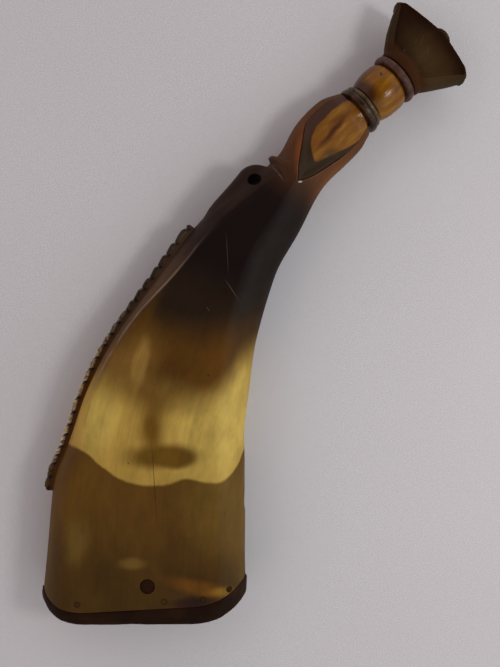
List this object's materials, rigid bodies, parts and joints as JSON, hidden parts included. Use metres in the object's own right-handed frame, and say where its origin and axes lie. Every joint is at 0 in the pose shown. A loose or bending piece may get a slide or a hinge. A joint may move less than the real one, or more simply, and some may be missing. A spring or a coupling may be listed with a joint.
{
  "type": "shofar-style horn flask",
  "caption": "Curved flattened animal-horn flask: hollow body, pinned wooden base board, notched ridge, cord lug, ringed neck and a pull-out fan-shaped stopper.",
  "frame": {"origin": "under the middle of the bounding box, on the surface that the flask lies on", "axes": "+X across the base to the concave side, +Y from the base board to the stopper, +Z out of the front face"},
  "size_m": [0.199, 0.2866, 0.028],
  "materials": {
    "horn": "polished translucent horn, olive brown at the wide end, yellow in the middle, near black towards the neck",
    "dark_horn": "dark brown polished horn",
    "olive_horn": "olive polished horn",
    "purple_horn": "purple brown horn, satin",
    "amber_horn": "glossy amber with dark streaks along the grain",
    "board_wood": "dark brown worn wood",
    "peg_wood": "dark purple brown wood, end grain",
    "fan_wood": "matte dark brown carved wood"
  },
  "bodies": {
    "flask": {"horn_body": "horn", "notched_ridge": "dark_horn", "base_board": "board_wood", "base_peg": "peg_wood", "base_pin_front_1": "peg_wood", "base_pin_front_2": "peg_wood", "base_pin_front_3": "peg_wood", "base_pin_front_4": "peg_wood", "base_pin_back_1": "peg_wood", "base_pin_back_2": "peg_wood", "base_pin_back_3": "peg_wood", "base_pin_back_4": "peg_wood", "spout": "amber_horn", "neck_ring_dark": "dark_horn", "neck_ring_olive": "olive_horn", "lip_collar": "purple_horn"},
    "stopper": {"stopper_head": "fan_wood", "stopper_dowel": "fan_wood"}
  },
  "joints": [
    {"name": "stopper_pull", "type": "slide", "parent": "flask", "child": "stopper", "axis": [0.7501, 0.6613, 0], "range_m": [0, 0.04]}
  ]
}
